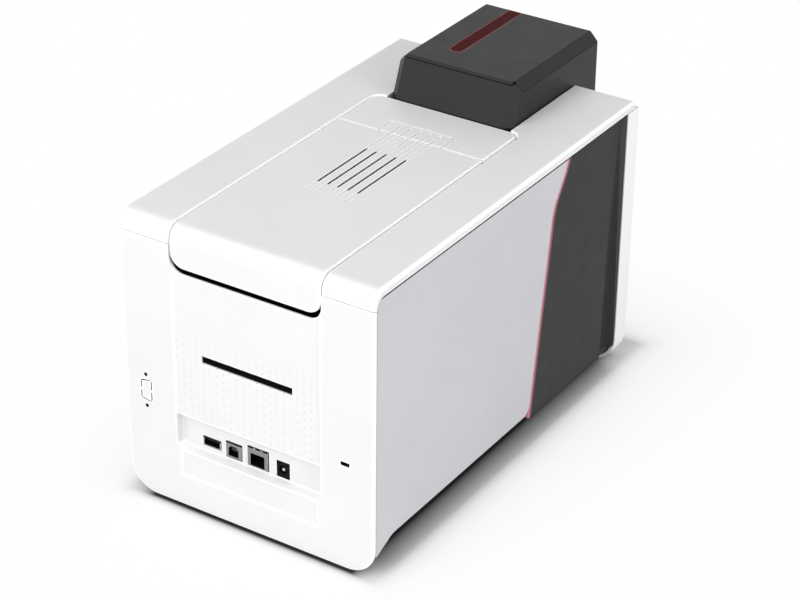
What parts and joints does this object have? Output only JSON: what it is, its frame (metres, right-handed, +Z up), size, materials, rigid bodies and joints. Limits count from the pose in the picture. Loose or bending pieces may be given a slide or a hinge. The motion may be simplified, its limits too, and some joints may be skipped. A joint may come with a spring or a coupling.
{
  "type": "id card printer",
  "caption": "Desktop card printer: white body, hinged vented lid, grey and dark sides with a red strip, black card feeder with hinged cover, rear sockets and a working print engine inside.",
  "frame": {"origin": "on the table, under the middle of the printer's bounding box", "axes": "+Z up; -Y to the front, where the card feeder is; +Y to the rear, where the sockets are; +X to the right as seen from the front"},
  "size_m": [0.205, 0.376, 0.252],
  "materials": {
    "white_shell": "satin moulded",
    "grey_panel": "fine matt grain",
    "dark_panel": "fine matt grain",
    "red_strip": "soft satin",
    "black_plastic": "matt grain",
    "red_clear": "clear tinted",
    "smoked_clear": "smoked clear",
    "rubber": "matt",
    "steel": "ground",
    "plate_steel": "zinc plated",
    "aluminium": "satin extruded",
    "motor_case": "black paint",
    "gear_plastic": "natural nylon",
    "roller_blue": "smooth tacky",
    "ribbon_film": "glossy film",
    "circuit_board": "solder resist",
    "socket_metal": "nickel plated",
    "light_clear": "clear diffusing",
    "ceramic": "glazed"
  },
  "bodies": {
    "housing": {"top_cover": "white_shell", "bridge_cover": "white_shell", "rear_housing": "white_shell", "front_bezel": "white_shell", "status_light": "light_clear", "control_board": "circuit_board", "base_tray": "black_plastic", "rubber_feet": "rubber", "left_rear_panel": "grey_panel", "right_rear_panel": "grey_panel", "left_front_panel": "dark_panel", "right_front_panel": "dark_panel", "left_piping": "red_strip", "right_piping": "red_strip", "left_chassis_plate": "plate_steel", "right_chassis_plate": "plate_steel", "tie_bars": "steel", "card_guide": "black_plastic", "rear_card_throat": "black_plastic", "left_ribbon_cradle": "black_plastic", "right_ribbon_cradle": "black_plastic", "drive_motor": "motor_case", "ribbon_motor": "motor_case", "drive_belt": "rubber", "main_board": "circuit_board", "board_posts": "socket_metal", "usb_a_socket": "socket_metal", "usb_b_socket": "socket_metal", "network_socket": "black_plastic", "power_jack": "black_plastic", "feeder_hopper": "black_plastic", "output_bin": "black_plastic"},
    "lid": {"lid": "white_shell", "print_head": "ceramic", "heat_sink": "aluminium", "print_head_bracket": "plate_steel"},
    "release_button": {"release_button": "white_shell"},
    "control_key": {"control_key": "grey_panel"},
    "feeder_cover": {"feeder_cover": "black_plastic", "feeder_window": "red_clear"},
    "card_weight": {"card_weight": "black_plastic"},
    "output_flap": {"output_flap": "smoked_clear"},
    "pick_roller": {"pick_roller": "rubber"},
    "entry_roller": {"entry_roller": "rubber"},
    "platen_roller": {"platen_roller": "rubber"},
    "exit_roller": {"exit_roller": "rubber"},
    "drive_pinion": {"drive_pinion": "gear_plastic"},
    "cleaning_roller": {"cleaning_roller": "roller_blue"},
    "exit_pinch_roller": {"exit_pinch_roller": "rubber"},
    "supply_spool": {"supply_core": "gear_plastic", "supply_film": "ribbon_film"},
    "takeup_spool": {"takeup_core": "gear_plastic", "takeup_film": "ribbon_film"},
    "spool_pinion": {"spool_pinion": "gear_plastic"}
  },
  "joints": [
    {"name": "lid_hinge", "type": "hinge", "parent": "housing", "child": "lid", "pos_m": [0, 0.178, 0.208], "axis": [-1, 0, 0], "range_deg": [0, 85]},
    {"name": "feeder_cover_hinge", "type": "hinge", "parent": "housing", "child": "feeder_cover", "pos_m": [0, -0.0761, 0.2501], "axis": [-1, 0, 0], "range_deg": [0, 95]},
    {"name": "release_button_press", "type": "slide", "parent": "housing", "child": "release_button", "axis": [0, 0, -1], "range_m": [0, 0.002], "stiffness_N_per_m": 400, "springref_m": -0.001},
    {"name": "control_key_press", "type": "slide", "parent": "housing", "child": "control_key", "axis": [0, 1, 0], "range_m": [0, 0.001], "stiffness_N_per_m": 400, "springref_m": -0.001},
    {"name": "card_weight_slide", "type": "slide", "parent": "housing", "child": "card_weight", "axis": [0, 0, 1], "range_m": [0, 0.08]},
    {"name": "output_flap_hinge", "type": "hinge", "parent": "housing", "child": "output_flap", "pos_m": [0, -0.1679, 0.0412], "axis": [1, 0, 0], "range_deg": [0, 85]},
    {"name": "platen_spin", "type": "hinge", "parent": "housing", "child": "platen_roller", "pos_m": [0, 0.055, 0.119], "axis": [1, 0, 0], "continuous": true},
    {"name": "pick_spin", "type": "hinge", "parent": "housing", "child": "pick_roller", "pos_m": [0, -0.095, 0.119], "axis": [1, 0, 0], "continuous": true},
    {"name": "entry_spin", "type": "hinge", "parent": "housing", "child": "entry_roller", "pos_m": [0, -0.02, 0.119], "axis": [1, 0, 0], "continuous": true},
    {"name": "exit_spin", "type": "hinge", "parent": "housing", "child": "exit_roller", "pos_m": [0, 0.13, 0.119], "axis": [1, 0, 0], "continuous": true},
    {"name": "drive_motor_spin", "type": "hinge", "parent": "housing", "child": "drive_pinion", "pos_m": [0, 0.055, 0.0916], "axis": [1, 0, 0], "continuous": true},
    {"name": "cleaning_roller_spin", "type": "hinge", "parent": "housing", "child": "cleaning_roller", "pos_m": [0, -0.02, 0.1346], "axis": [1, 0, 0], "continuous": true},
    {"name": "exit_pinch_spin", "type": "hinge", "parent": "housing", "child": "exit_pinch_roller", "pos_m": [0, 0.13, 0.1346], "axis": [1, 0, 0], "continuous": true},
    {"name": "supply_spin", "type": "hinge", "parent": "housing", "child": "supply_spool", "pos_m": [0, 0.103, 0.165], "axis": [1, 0, 0], "continuous": true},
    {"name": "takeup_spin", "type": "hinge", "parent": "housing", "child": "takeup_spool", "pos_m": [0, 0.004, 0.165], "axis": [1, 0, 0], "continuous": true},
    {"name": "ribbon_motor_spin", "type": "hinge", "parent": "housing", "child": "spool_pinion", "pos_m": [0, 0.004, 0.1376], "axis": [1, 0, 0], "continuous": true}
  ],
  "couplings": [
    {"joint": "pick_spin", "follows": "platen_spin", "ratio": 1},
    {"joint": "entry_spin", "follows": "platen_spin", "ratio": 1},
    {"joint": "exit_spin", "follows": "platen_spin", "ratio": 1},
    {"joint": "drive_motor_spin", "follows": "platen_spin", "ratio": -2},
    {"joint": "ribbon_motor_spin", "follows": "takeup_spin", "ratio": -2}
  ]
}
